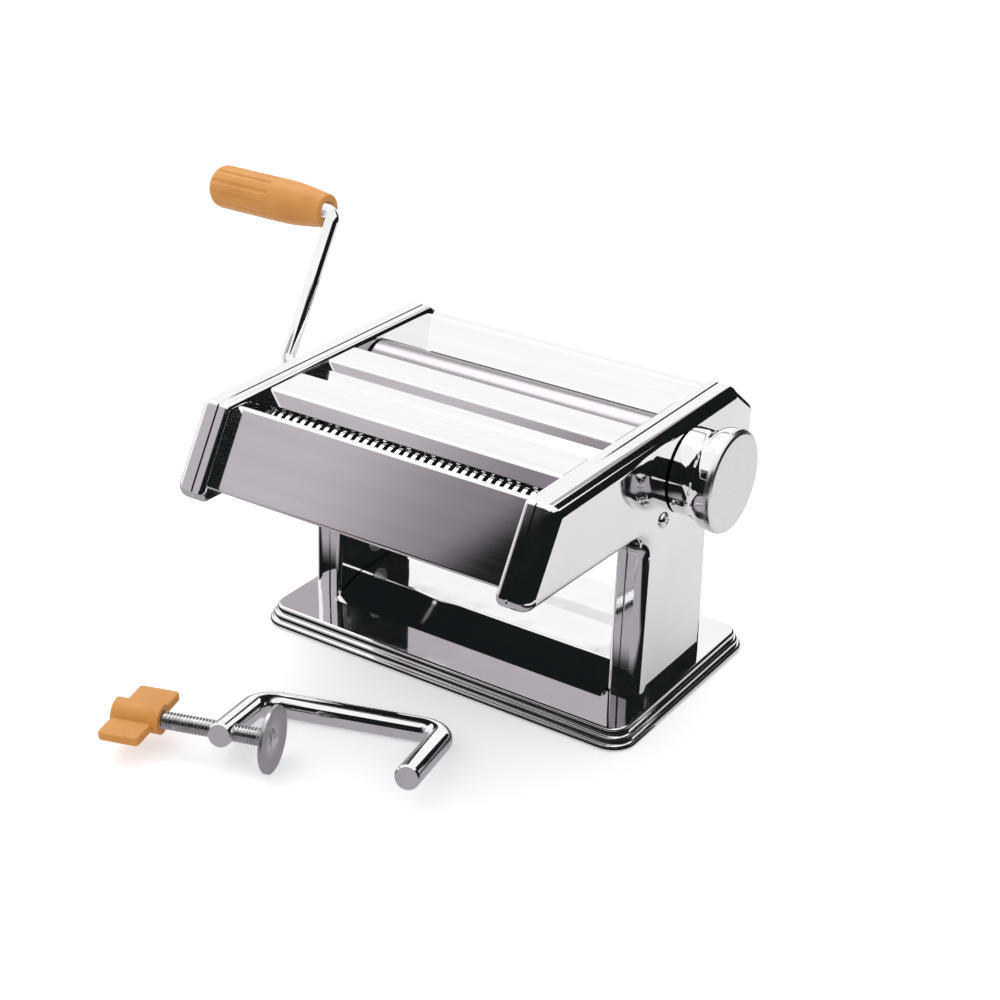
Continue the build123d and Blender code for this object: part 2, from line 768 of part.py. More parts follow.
outer_edge = spiral(slot_half)
inner_edge = spiral(-slot_half)
end_turn = math.radians(-dial_turn_degrees)
end_radius = scroll_start + nip_travel
end_mid = (end_radius * math.cos(end_turn) + slot_half * math.sin(end_turn),
           end_radius * math.sin(end_turn) - slot_half * math.cos(end_turn))
slot_face = make_face([
    Spline(*outer_edge), ThreePointArc(outer_edge[-1], end_mid, inner_edge[-1]),
    Spline(*inner_edge), ThreePointArc(inner_edge[0], (scroll_start, slot_half), outer_edge[0])])
scroll = across(Pos(dial_y, dial_z) * (Circle(scroll_radius) - slot_face), scroll_left, scroll_right)
knob_start = outer_half + knob_gap
knob_end = knob_start + knob_length
hub_floor = knob_start + 5.0
washer_left = hub_floor + 2.0 + 2 * spring_wire + spring_space
washer_radius = spring_radius + 1.2
dial_shaft = scroll + turned([
    (scroll_left, 0), (scroll_left, dial_shaft_radius), (washer_left, dial_shaft_radius),
    (washer_left, washer_radius), (washer_left + 1.2, washer_radius), (washer_left + 1.2, 3.4),
    (washer_left + 2.6, 2.8), (washer_left + 2.6, 0)], dial_y, dial_z)
flat_length = washer_left - knob_start
for side in (-1, 1):
    flat_cut = Box(flat_length, 3 * dial_shaft_radius, 2 * dial_shaft_radius)
    flat_z = dial_z + side * (dial_shaft_flat + dial_shaft_radius)
    dial_shaft -= Pos(knob_start + flat_length / 2, dial_y, flat_z) * flat_cut
save("dial_shaft", dial_shaft)

dial_bush = turned([
    (outer_half - 3.2, dial_shaft_radius + running_fit), (outer_half - 3.2, dial_bush_outer + 1.6),
    (outer_half - sheet, dial_bush_outer + 1.6), (outer_half - sheet, dial_bush_outer),
    (knob_start, dial_bush_outer), (knob_start, dial_shaft_radius + running_fit)], dial_y, dial_z)
save("dial_bush", dial_bush)
stop_reach = 2.4
save("stop_pin", rod(outer_half - 3.0, outer_half + knob_gap + stop_reach, stop_pin_radius, stop_y, stop_z))

# Knob: flared skirt, base flange with the stop slot, hub that holds the spring
skirt_waist = knob_start + 0.36 * knob_length
skirt_flare = knob_start + 0.84 * knob_length
flare_rise = knob_rim_radius - knob_base_radius
outer_skirt = [
    Line((knob_start, knob_base_radius), (skirt_waist, knob_base_radius)),
    Spline((skirt_waist, knob_base_radius),
           ((skirt_waist + skirt_flare) / 2, knob_base_radius + flare_rise / 2),
           (skirt_flare, knob_rim_radius), tangents=[(1, 0), (1, 0)]),
    Line((skirt_flare, knob_rim_radius), (knob_end, knob_rim_radius)),
    Line((knob_end, knob_rim_radius), (knob_end, 0)),
    Line((knob_end, 0), (knob_start, 0)),
    Line((knob_start, 0), (knob_start, knob_base_radius)),
]
knob_axis = Axis((0, dial_y, dial_z), (1, 0, 0))
knob_core = revolve(Pos(0, dial_y, dial_z) * make_face(outer_skirt), knob_axis)
base_flange = 3.0
well = knob_base_radius - knob_wall
knob_hollow = turned([
    (knob_start + base_flange, knob_hub_radius), (knob_start + base_flange, well),
    (skirt_waist + 2.0, well), (skirt_flare, well + flare_rise), (knob_end + 1, well + flare_rise),
    (knob_end + 1, 0), (hub_floor + 2.0, 0), (hub_floor + 2.0, washer_radius + 0.6),
    (washer_left + 4.6, washer_radius + 0.6),
    (washer_left + 4.6, knob_hub_radius)], dial_y, dial_z)
knob_bore = rod(knob_start - 1, hub_floor + 3, dial_shaft_radius + running_fit, dial_y, dial_z)
flat_gap = 2 * (dial_shaft_flat + running_fit)
knob_bore &= Pos(hub_floor, dial_y, dial_z) * Box(knob_length, 4 * dial_shaft_radius, flat_gap)
slot_reach = math.degrees(math.asin((stop_pin_radius + 0.6) / stop_pin_orbit))
slot_from = math.radians(250.0 - dial_turn_degrees - slot_reach)
slot_to = math.radians(250.0 + slot_reach)


def on_ring(radius, angle):
    """Point of the dial's face at a radius and angle."""
    return (radius * math.cos(angle), radius * math.sin(angle))


stop_half = stop_pin_radius + 0.5
slot_mid = (slot_from + slot_to) / 2
stop_slot = make_face([
    ThreePointArc(*[on_ring(stop_pin_orbit + stop_half, a) for a in (slot_from, slot_mid, slot_to)]),
    Line(on_ring(stop_pin_orbit + stop_half, slot_to), on_ring(stop_pin_orbit - stop_half, slot_to)),
    ThreePointArc(*[on_ring(stop_pin_orbit - stop_half, a) for a in (slot_to, slot_mid, slot_from)]),
    Line(on_ring(stop_pin_orbit - stop_half, slot_from), on_ring(stop_pin_orbit + stop_half, slot_from))])
knob = knob_core - knob_hollow - knob_bore
knob -= across(Pos(dial_y, dial_z) * stop_slot, knob_start - 1, knob_start + base_flange + 1)
save("dial_knob", knob)

cap_spigot = well + flare_rise
cap_end = knob_end + cap_thickness
dial_cap = turned([
    (knob_end - 2.0, cap_spigot - 1.6), (knob_end - 2.0, cap_spigot), (knob_end, cap_spigot),
    (knob_end, knob_rim_radius + 0.3), (cap_end - cap_round, knob_rim_radius + 0.3),
    (cap_end - cap_round / 3, knob_rim_radius + 0.3 - cap_round / 3),
    (cap_end, knob_rim_radius - cap_round),
    (cap_end, 0), (knob_end, 0), (knob_end, cap_spigot - 1.6)], dial_y, dial_z)
save("dial_cap", dial_cap)

# Return spring between the hub floor and the shaft's washer
spring_floor = hub_floor + 2.0 + spring_wire / 2 + 0.15
spring_length = washer_left - spring_floor - spring_wire / 2 - 0.15
spring_pitch = spring_length / spring_turns
coil = Helix(spring_pitch, spring_length, spring_radius)
wire = Plane(coil @ 0, z_dir=coil % 0) * Circle(spring_wire / 2)
spring = sweep(wire, coil)
spring = Pos(spring_floor, dial_y, dial_z) * Rot(0, 90, 0) * spring
print("spring: least gap between turns", round(spring_pitch - spring_wire, 2), "mm")
save("dial_spring", spring)

# Crank: square tang, then a round bar bent out along the arm and into the grip
tang = socket_square - 2 * tang_play
tang_start = -outer_half - 2.0
tang_end = -drive_end + socket_depth - 1.0
tang_bar = Box(tang_end - tang_start, tang, tang)
tang_bar = Pos((tang_start + tang_end) / 2, front_roller_y, smooth_z) * tang_bar
hub_x = -(outer_half + crank_standoff)
shank_start = -outer_half - 1.0 - shank_gap
pin_end = hub_x - crank_rod_radius - grip_gap - grip_length + grip_solid_end
crank_line = FilletPolyline(
    (shank_start, 0, 0), (hub_x, 0, 0), (hub_x, 0, crank_radius), (pin_end, 0, crank_radius),
    radius=crank_bend)
crank_section = Plane((shank_start, 0, 0), z_dir=(-1, 0, 0)) * Circle(crank_rod_radius)
crank_turn = Location((0, front_roller_y, smooth_z), (-crank_angle, 0, 0))
save("crank_arm", crank_turn * sweep(crank_section, crank_line) + tang_bar)

# Grip: turned body with a tapered neck, flutes on its outer part, blind bore for the bar
grip_start = crank_rod_radius + grip_gap
grip_stop = grip_start + grip_length
grip_body = make_face([
    Line((grip_start, 0), (grip_start, grip_neck_radius - 1.0)),
    ThreePointArc((grip_start, grip_neck_radius - 1.0), (grip_start + 0.3, grip_neck_radius - 0.3),
                  (grip_start + 1.0, grip_neck_radius)),
    Spline((grip_start + 1.0, grip_neck_radius), (grip_start + grip_taper, grip_radius),
           tangents=[(grip_taper, 1.3 * (grip_radius - grip_neck_radius)), (1, 0)]),
    Line((grip_start + grip_taper, grip_radius), (grip_stop - grip_end_round, grip_radius)),
    RadiusArc((grip_stop - grip_end_round, grip_radius), (grip_stop, grip_radius - grip_end_round),
              grip_end_round),
    Line((grip_stop, grip_radius - grip_end_round), (grip_stop, 0)),
    Line((grip_stop, 0), (grip_start, 0)),
])
grip = revolve(grip_body, Axis.X)


def along_grip(start, stop, radius):
    """Round length on the grip's axis."""
    return Pos((start + stop) / 2, 0, 0) * Rot(0, 90, 0) * Cylinder(radius, stop - start)


bore_end = grip_stop - grip_solid_end + 0.6
grip -= along_grip(grip_start - 1.0, bore_end, crank_rod_radius + running_fit)
grip -= along_grip(grip_start - 1.0, grip_start + grip_recess, grip_recess_radius)
flute = along_grip(grip_stop - flute_reach, grip_stop + 1.0, flute_radius)
for i in range(grip_flutes):
    angle = 360.0 * i / grip_flutes
    grip -= Rot(angle, 0, 0) * Pos(0, 0, grip_radius + flute_radius - flute_depth) * flute
save("grip", crank_turn * Pos(hub_x, 0, crank_radius) * Rot(0, 0, 180) * grip)

# Clamp: bent rod lying on its long side and on the pad's rim, screw through the free leg
screw_arm = clamp_screw_leg - screw_setback
clamp_tilt = math.degrees(math.asin((pad_radius - clamp_rod_radius) / screw_arm))
clamp_place = Location((clamp_corner_x, clamp_corner_y, clamp_rod_radius), (0, 0, clamp_heading))
clamp_frame = clamp_place * Rot(-clamp_tilt, 0, 0)
rod_path = FilletPolyline(
    (0, -clamp_insert_leg, 0), (0, 0, 0), (-clamp_span, 0, 0), (-clamp_span, -clamp_screw_leg, 0),
    radius=clamp_bend)
rod_section = Plane((0, -clamp_insert_leg, 0), z_dir=(0, 1, 0)) * Circle(clamp_rod_radius)
clamp_rod = sweep(rod_section, rod_path)
clamp_ends = clamp_rod.faces().filter_by(Axis.Y).edges()
clamp_rod = chamfer(clamp_ends, 0.8)
screw_line = Location((-clamp_span, -screw_arm, 0))


def on_screw(start, length, radius):
    """Round length of the clamp's screw line, measured from the rod towards the pad."""
    bar = Rot(0, 90, 0) * Cylinder(radius, length, align=(Align.CENTER, Align.CENTER, Align.MIN))
    return screw_line * Pos(start, 0, 0) * bar


screw_hole = on_screw(-clamp_rod_radius - 1, 2 * clamp_rod_radius + 2, screw_radius + running_fit)
save("clamp_rod", clamp_frame * (clamp_rod - screw_hole))
neck_radius = 2.5
pad_face = pad_offset + 2.4
screw_end = -wing_offset - wing_hub_length + 6.0
clamp_screw = on_screw(screw_end, pad_offset - 4.0 - screw_end, screw_radius)
clamp_screw += on_screw(pad_offset - 4.5, 4.5, neck_radius)
save("clamp_screw", clamp_frame * clamp_screw)
pad_profile = [
    (pad_offset - 2.6, neck_radius + running_fit), (pad_offset - 2.6, 5.2), (pad_offset - 0.6, 6.2),
    (pad_offset + 0.4, pad_radius - 0.6), (pad_offset + 1.0, pad_radius), (pad_face, pad_radius),
    (pad_face, pad_radius - 1.2), (pad_offset + 1.2, 5.0), (pad_offset + 2.0, 3.6), (pad_offset + 2.2, 0),
    (pad_offset + 0.1, 0),
    (pad_offset + 0.1, neck_radius + running_fit)]
pad = revolve(make_face(Polyline(*pad_profile, close=True)), Axis.X)
save("clamp_pad", clamp_frame * screw_line * pad)

# Wing knob: two flat blades on a round hub, moulded on the screw's end
slant = wing_span / 2 * math.tan(math.radians(wing_skew))
half_length = wing_length / 2
blade = rounded_outline([
    (-half_length - slant, -wing_span / 2, wing_corner), (half_length - slant, -wing_span / 2, wing_corner),
    (half_length + slant, wing_span / 2, wing_corner), (-half_length + slant, wing_span / 2, wing_corner)])
blades = extrude(blade, amount=wing_thickness / 2, both=True)
blades = fillet(blades.edges().filter_by(Plane.XY), 0.9)
wing_middle = -wing_offset - wing_hub_length / 2
wing_level = Rot(clamp_tilt + wing_turn, 0, 0)
wing = screw_line * Pos(wing_middle - wing_shift, 0, 0) * wing_level * blades
wing += on_screw(wing_middle - wing_hub_length / 2, wing_hub_length, wing_hub_radius)
wing -= on_screw(screw_end, wing_hub_length, screw_radius)
save("clamp_wing", clamp_frame * wing)
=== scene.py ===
import json
import math

import bmesh
import bpy
from mathutils import Matrix, Vector


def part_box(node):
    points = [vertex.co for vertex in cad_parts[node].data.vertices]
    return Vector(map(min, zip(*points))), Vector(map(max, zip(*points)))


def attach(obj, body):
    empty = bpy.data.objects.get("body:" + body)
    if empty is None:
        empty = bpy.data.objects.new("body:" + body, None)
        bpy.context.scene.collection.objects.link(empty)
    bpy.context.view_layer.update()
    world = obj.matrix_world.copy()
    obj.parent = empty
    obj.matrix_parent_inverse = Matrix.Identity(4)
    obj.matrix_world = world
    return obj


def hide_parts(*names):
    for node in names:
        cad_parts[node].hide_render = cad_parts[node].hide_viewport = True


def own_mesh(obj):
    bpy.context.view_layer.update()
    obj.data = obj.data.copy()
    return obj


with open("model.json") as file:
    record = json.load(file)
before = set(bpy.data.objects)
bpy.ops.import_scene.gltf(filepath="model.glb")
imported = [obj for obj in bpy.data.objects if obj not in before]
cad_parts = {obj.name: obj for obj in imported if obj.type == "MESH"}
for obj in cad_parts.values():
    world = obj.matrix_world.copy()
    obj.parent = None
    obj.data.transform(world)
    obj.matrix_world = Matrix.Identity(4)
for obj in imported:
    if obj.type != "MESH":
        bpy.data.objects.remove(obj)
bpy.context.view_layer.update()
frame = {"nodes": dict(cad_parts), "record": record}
solids = frame["nodes"]
scene = bpy.context.scene
scene.view_settings.view_transform = "Standard"

# Camera: stands in front of the machine on the dial's side, well above the head, with a long lens.
# It is turned 33 degrees off the front, looks down by 26 degrees and leans a little to one side.
camera_place = (0.4428, -0.6880, 0.4772)
camera_turn = 33.01
camera_drop = 26.37
camera_lean = 1.48
camera_data = bpy.data.cameras.new("camera")
camera_data.lens = 70.03
camera_data.sensor_width = 36.0
camera = bpy.data.objects.new("camera", camera_data)
scene.collection.objects.link(camera)
camera.matrix_world = (
    Matrix.Translation(camera_place)
    @ Matrix.Rotation(math.radians(camera_turn), 4, "Z")
    @ Matrix.Rotation(math.radians(90.0 - camera_drop), 4, "X")
    @ Matrix.Rotation(math.radians(camera_lean), 4, "Z"))
scene.camera = camera

# Studio: a white room with an even white sky that lights everything softly. Polished metal and the
# camera see plain white walls, and the sky fades a little towards the horizon for the rest.
studio = bpy.data.worlds.new("studio")
scene.world = studio
studio.use_nodes = True
room = studio.node_tree
room.nodes.clear()
sight = room.nodes.new("ShaderNodeTexCoord")
toward = room.nodes.new("ShaderNodeSeparateXYZ")
even_sky = room.nodes.new("ShaderNodeMapRange")
even_sky.inputs["From Min"].default_value = 0.0
even_sky.inputs["From Max"].default_value = 1.0
even_sky.inputs["To Min"].default_value = 0.70
even_sky.inputs["To Max"].default_value = 1.10
ray = room.nodes.new("ShaderNodeLightPath")
white_seen = room.nodes.new("ShaderNodeMath")
white_seen.operation = "MAXIMUM"
sky_or_wall = room.nodes.new("ShaderNodeMix")
sky_or_wall.data_type = "RGBA"
sky_or_wall.inputs["B"].default_value = (1.0, 1.0, 1.0, 1.0)
glow = room.nodes.new("ShaderNodeBackground")
room_out = room.nodes.new("ShaderNodeOutputWorld")
room.links.new(sight.outputs["Generated"], toward.inputs["Vector"])
room.links.new(toward.outputs["Z"], even_sky.inputs["Value"])
room.links.new(ray.outputs["Is Camera Ray"], white_seen.inputs[0])
room.links.new(ray.outputs["Is Glossy Ray"], white_seen.inputs[1])
room.links.new(white_seen.outputs[0], sky_or_wall.inputs["Factor"])
room.links.new(even_sky.outputs["Result"], sky_or_wall.inputs["A"])
room.links.new(sky_or_wall.outputs["Result"], glow.inputs["Color"])
room.links.new(glow.outputs["Background"], room_out.inputs["Surface"])

# Cards: boards round the machine for the chrome to mirror. In front stand a grey one and black ones, and a
# grey one lies flat on the table, black close to the base's front as painted contact shadow and black
# towards the dial's side. Black ones stand on the dial's side, and a grey one hangs high up behind.
# Small black ones put painted shade into the mirrored slots, under the head and into the gap behind the
# rear roller.
front_y = -0.42
side_x = 0.43
back_y = 0.60
roller_reach = 0.075
grey_light = (0.51, 0.475, 0.51, 1.0)
grey_middle = (0.46, 0.415, 0.455, 1.0)
grey_dark = (0.245, 0.215, 0.245, 1.0)
# Grey of the card lying flat on the table, seen in reflections only.
table_card_grey = (0.40, 0.37, 0.405, 1.0)
card_black = (0.008, 0.010, 0.011, 1.0)


def stand_card(name, low, high):
    """Board between two corners, flat along one axis and seen in reflections only."""
    span = high - low
    card_bm = bmesh.new()
    bmesh.ops.create_grid(card_bm, x_segments=1, y_segments=1, size=0.5)
    if span.z > 0.0:
        bmesh.ops.rotate(card_bm, verts=card_bm.verts, matrix=Matrix.Rotation(math.pi / 2, 3, "X"))
    if span.x == 0.0:
        bmesh.ops.rotate(card_bm, verts=card_bm.verts, matrix=Matrix.Rotation(math.pi / 2, 3, "Z"))
    bmesh.ops.scale(card_bm, verts=card_bm.verts, vec=[max(side, 0.001) for side in span])
    bmesh.ops.translate(card_bm, verts=card_bm.verts, vec=(low + high) / 2)
    card_mesh = bpy.data.meshes.new(name)
    card_bm.to_mesh(card_mesh)
    card_bm.free()
    card = bpy.data.objects.new(name, card_mesh)
    scene.collection.objects.link(card)
    card.visible_camera = False
    card.visible_diffuse = False
    card.visible_transmission = False
    card.visible_shadow = False
    paint = bpy.data.materials.new(name)
    paint.use_nodes = True
    paint.node_tree.nodes.clear()
    face = paint.node_tree.nodes.new("ShaderNodeEmission")
    face.inputs["Color"].default_value = card_black
    face_out = paint.node_tree.nodes.new("ShaderNodeOutputMaterial")
    paint.node_tree.links.new(face.outputs["Emission"], face_out.inputs["Surface"])
    card_mesh.materials.append(paint)
    return paint.node_tree, face


def show_one_side(tree, face, back):
    """Lets rays through one side of a board, so that only its back or its front shows."""
    side = tree.nodes.new("ShaderNodeNewGeometry")
    open_side = tree.nodes.new("ShaderNodeBsdfTransparent")
    shown = tree.nodes.new("ShaderNodeMixShader")
    tree.links.new(side.outputs["Backfacing"], shown.inputs["Fac"])
    tree.links.new(open_side.outputs["BSDF"], shown.inputs[1 if back else 2])
    tree.links.new(face.outputs["Emission"], shown.inputs[2 if back else 1])
    tree.links.new(shown.outputs["Shader"], tree.nodes["Material Output"].inputs["Surface"])


def axes_of(tree):
    """The three coordinates of a place on a board, in metres."""
    place = tree.nodes.new("ShaderNodeTexCoord")
    axes = tree.nodes.new("ShaderNodeSeparateXYZ")
    tree.links.new(place.outputs["Object"], axes.inputs["Vector"])
    return axes.outputs


def mix_by(tree, amount):
    """Mix of two colours by an amount, with its two colours still to be set."""
    mix = tree.nodes.new("ShaderNodeMix")
    mix.data_type = "RGBA"
    tree.links.new(amount, mix.inputs["Factor"])
    return mix


def fade(tree, source, start, stop):
    """Runs smoothly from 0 to 1 as a coordinate goes from start to stop."""
    span = tree.nodes.new("ShaderNodeMapRange")
    span.interpolation_type = "SMOOTHSTEP"
    span.inputs["From Min"].default_value = start
    span.inputs["From Max"].default_value = stop
    tree.links.new(source, span.inputs["Value"])
    return span.outputs["Result"]


front_tree, front_face = stand_card(
    "card_front", Vector((-0.80, front_y, 0.0)), Vector((-0.09, front_y, 0.405)))
front_axes = axes_of(front_tree)
front_grey = mix_by(front_tree, fade(front_tree, front_axes["X"], -0.29, -0.15))
front_grey.inputs["A"].default_value = grey_light
front_grey.inputs["B"].default_value = grey_dark
front_slant = front_tree.nodes.new("ShaderNodeMath")
front_slant.operation = "MULTIPLY_ADD"
front_slant.inputs[1].default_value = -0.5
front_tree.links.new(front_axes["Z"], front_slant.inputs[0])
front_tree.links.new(front_axes["X"], front_slant.inputs[2])
front_tone = mix_by(front_tree, fade(front_tree, front_slant.outputs[0], -0.305, -0.260))
front_tone.inputs["B"].default_value = card_black
front_tree.links.new(front_grey.outputs["Result"], front_tone.inputs["A"])
front_tree.links.new(front_tone.outputs["Result"], front_face.inputs["Color"])
stand_card("card_dark", Vector((-0.09, front_y, 0.0)), Vector((0.80, front_y, 0.325)))
stand_card("card_dial", Vector((0.20, front_y, 0.325)), Vector((0.80, front_y, 0.46)))
stand_card("card_side", Vector((side_x, front_y, 0.0)), Vector((side_x, back_y, 0.45)))
stand_card("card_back", Vector((0.0, back_y, 0.0)), Vector((side_x, back_y, 0.75)))
high_face = stand_card("card_high", Vector((-4.0, 2.0, 1.41)), Vector((0.3, 2.0, 1.75)))[1]
high_face.inputs["Color"].default_value = grey_middle
# Lying card, seen in reflections only: grey, with painted contact shadow in black close to the base's
# front, and black towards the dial's side.
low_tree, low_face = stand_card("card_low", Vector((-0.50, -0.41, 0.0006)), Vector((0.25, -0.03, 0.0006)))
low_axes = axes_of(low_tree)
low_dark = low_tree.nodes.new("ShaderNodeMath")
low_dark.operation = "MAXIMUM"
low_tree.links.new(fade(low_tree, low_axes["Y"], -0.095, -0.068), low_dark.inputs[0])
low_tree.links.new(fade(low_tree, low_axes["X"], 0.14, 0.17), low_dark.inputs[1])
low_tone = mix_by(low_tree, low_dark.outputs[0])
low_tone.inputs["A"].default_value = table_card_grey
low_tone.inputs["B"].default_value = card_black
low_tree.links.new(low_tone.outputs["Result"], low_face.inputs["Color"])
# Painted shade: a black card under the head, seen in reflections only, darkens the base's top where it
# mirrors the head's underside.
stand_card("shade_card_under", Vector((-roller_reach, -0.10, 0.0905)), Vector((roller_reach, 0.05, 0.0905)))
# Painted shade: black cards across the cutter slots, seen in reflections only, darken the cutters and the
# slot walls.
for slot_name, slot_y in (("shade_card_narrow_slot", -0.0785), ("shade_card_wide_slot", -0.0370)):
    stand_card(slot_name, Vector((-roller_reach, slot_y, 0.098)), Vector((roller_reach, slot_y, 0.129)))
# Painted shade: a black card over the left part of the slots, shown from one side only, darkens the slots
# in reflections.
slot_tree, slot_face = stand_card(
    "shade_card_slots", Vector((-0.055, -0.125, 0.1365)), Vector((-0.055, -0.035, 0.165)))
show_one_side(slot_tree, slot_face, True)
# Painted shade: a black card in the gap between the rear roller and the feed plate, seen in reflections
# only, draws that gap's dark line.
feed_tree, feed_face = stand_card(
    "shade_card_feed", Vector((-0.058, 0.020, 0.110)), Vector((roller_reach, 0.020, 0.136)))
show_one_side(feed_tree, feed_face, False)

# Softbox: one large lamp above and behind on the left, for a soft key and a direction to the shadows.
softbox_data = bpy.data.lights.new("softbox", "AREA")
softbox_data.shape = "RECTANGLE"
softbox_data.size = 1.0
softbox_data.size_y = 0.7
softbox_data.energy = 4.0
softbox = bpy.data.objects.new("softbox", softbox_data)
scene.collection.objects.link(softbox)
softbox.location = (-0.55, 0.35, 1.25)
softbox_aim = Vector((0.0, -0.03, 0.08)) - softbox.location
softbox.rotation_euler = softbox_aim.to_track_quat("-Z", "Y").to_euler()

# Table: a wide sheet of white paper. It glows a little of itself, so it runs into the white room, and
# it still takes the machine's soft shadows close to where things touch it.
table_bm = bmesh.new()
bmesh.ops.create_grid(table_bm, x_segments=1, y_segments=1, size=6.0)
table_mesh = bpy.data.meshes.new("table")
table_bm.to_mesh(table_mesh)
table_bm.free()
table = bpy.data.objects.new("table", table_mesh)
scene.collection.objects.link(table)
table_white = bpy.data.materials.new("table_white")
table_white.use_nodes = True
table_tree = table_white.node_tree
table_tree.nodes.clear()
table_paper = table_tree.nodes.new("ShaderNodeBsdfDiffuse")
paper_tone = table_tree.nodes.new("ShaderNodeMix")
paper_tone.data_type = "RGBA"
paper_tone.inputs["A"].default_value = (0.88, 0.885, 0.895, 1.0)
paper_tone.inputs["B"].default_value = (0.74, 0.72, 0.745, 1.0)
table_lift = table_tree.nodes.new("ShaderNodeEmission")
table_lift.inputs["Color"].default_value = (0.955, 0.975, 1.0, 1.0)
table_ray = table_tree.nodes.new("ShaderNodeLightPath")
lift_by_ray = table_tree.nodes.new("ShaderNodeMapRange")
lift_by_ray.inputs["To Min"].default_value = 0.0
lift_by_ray.inputs["To Max"].default_value = 0.39
table_sum = table_tree.nodes.new("ShaderNodeAddShader")
table_out = table_tree.nodes.new("ShaderNodeOutputMaterial")
table_tree.links.new(table_ray.outputs["Is Glossy Ray"], paper_tone.inputs["Factor"])
table_tree.links.new(paper_tone.outputs["Result"], table_paper.inputs["Color"])
table_tree.links.new(table_ray.outputs["Is Camera Ray"], lift_by_ray.inputs["Value"])
table_tree.links.new(lift_by_ray.outputs["Result"], table_lift.inputs["Strength"])
table_tree.links.new(table_paper.outputs["BSDF"], table_sum.inputs[0])
table_tree.links.new(table_lift.outputs["Emission"], table_sum.inputs[1])
table_tree.links.new(table_sum.outputs["Shader"], table_out.inputs["Surface"])
table_mesh.materials.append(table_white)


# Side panels: each is two dished steel stampings, an inner plate and an outer cover, that meet at a
# seam, chromium plated and buffed to a mirror. The sheet waves a little where it was drawn.
def start_finish(name, metallic=0.0):
    """New material with its node tree and its surface shader."""
    material = bpy.data.materials.new(name)
    material.use_nodes = True
    tree = material.node_tree
    surface = tree.nodes["Principled BSDF"]
    surface.inputs["Metallic"].default_value = metallic
    return material, tree, surface


def grain(tree, scale, low, high, stretch=(1.0, 1.0, 1.0), detail=3.0):
    """Noise on the piece's own coordinates, spread between two values."""
    place = tree.nodes.new("ShaderNodeTexCoord")
    shape = tree.nodes.new("ShaderNodeMapping")
    shape.inputs["Scale"].default_value = stretch
    noise = tree.nodes.new("ShaderNodeTexNoise")
    noise.inputs["Scale"].default_value = scale
    noise.inputs["Detail"].default_value = detail
    spread = tree.nodes.new("ShaderNodeMapRange")
    spread.inputs["From Min"].default_value = 0.3
    spread.inputs["From Max"].default_value = 0.7
    spread.inputs["To Min"].default_value = low
    spread.inputs["To Max"].default_value = high
    tree.links.new(place.outputs["Object"], shape.inputs["Vector"])
    tree.links.new(shape.outputs["Vector"], noise.inputs["Vector"])
    tree.links.new(noise.outputs["Fac"], spread.inputs["Value"])
    return spread.outputs["Result"]


def shade_between(tree, surface, amount, first, second):
    """Base colour that drifts between two tones."""
    blend = mix_by(tree, amount)
    blend.inputs["A"].default_value = (*first, 1.0)
    blend.inputs["B"].default_value = (*second, 1.0)
    tree.links.new(blend.outputs["Result"], surface.inputs["Base Color"])


def relief(tree, surface, height, depth, under=None):
    """Surface relief of a depth in metres, on top of a coarser one if given."""
    bump = tree.nodes.new("ShaderNodeBump")
    bump.inputs["Distance"].default_value = depth
    tree.links.new(height, bump.inputs["Height"])
    if under is not None:
        tree.links.new(under, bump.inputs["Normal"])
    tree.links.new(bump.outputs["Normal"], surface.inputs["Normal"])
    return bump.outputs["Normal"]


def coat_with(material, *names):
    """Gives solids of the frame one finish."""
    for name in names:
        mesh = solids[name].data
        mesh.materials.clear()
        mesh.materials.append(material)


panel_chrome, tree, surface = start_finish("panel_chrome", 1.0)
shade_between(tree, surface, grain(tree, 22.0, 0.0, 1.0), (0.90, 0.90, 0.905), (0.955, 0.95, 0.955))
tree.links.new(grain(tree, 180.0, 0.025, 0.065), surface.inputs["Roughness"])
waves = relief(tree, surface, grain(tree, 16.0, 0.0, 1.0, detail=1.0), 0.00010)
relief(tree, surface, grain(tree, 1500.0, 0.0, 1.0), 0.0000012, waves)
coat_with(panel_chrome, "plate_left", "plate_right", "cover_left", "cover_right")

# Base: one stamped plate with a stepped rim, plated with the panels. The broad flat top was drawn
# less evenly than the panels, so its mirror is softer and wavier.
base_chrome, tree, surface = start_finish("base_chrome", 1.0)
shade_between(tree, surface, grain(tree, 30.0, 0.0, 1.0), (0.90, 0.90, 0.905), (0.955, 0.95, 0.955))
tree.links.new(grain(tree, 90.0, 0.02, 0.06), surface.inputs["Roughness"])
waves = relief(tree, surface, grain(tree, 28.0, 0.0, 1.0, detail=1.5), 0.00010)
relief(tree, surface, grain(tree, 1300.0, 0.0, 1.0), 0.0000020, waves)
coat_with(base_chrome, "base_plate")

# Folded sheets: front panel, two hoods, feed plate and rear panel, bent from chromed strip. They were
# only lightly buffed, so they keep the fine lines of the rolled strip along their length.
strip_chrome, tree, surface = start_finish("strip_chrome", 1.0)
shade_between(tree, surface, grain(tree, 260.0, 0.0, 1.0, (0.02, 1.0, 1.0)),
              (0.92, 0.915, 0.92), (0.975, 0.97, 0.975))
tree.links.new(grain(tree, 600.0, 0.05, 0.10, (0.01, 1.0, 1.0)), surface.inputs["Roughness"])
waves = relief(tree, surface, grain(tree, 14.0, 0.0, 1.0, (0.4, 1.0, 1.0), 1.0), 0.00006)
relief(tree, surface, grain(tree, 2500.0, 0.0, 1.0, (0.004, 1.0, 1.0)), 0.0000012, waves)
coat_with(strip_chrome, "front_panel", "front_hood", "rear_hood", "feed_plate", "rear_panel")

# Rollers: steel bars turned and ground on their axes and left satin, so that they grip the dough. The
# grinding leaves fine rings round each bar.
roller_satin_and_shade, tree, surface = start_finish("roller_satin_and_shade", 1.0)
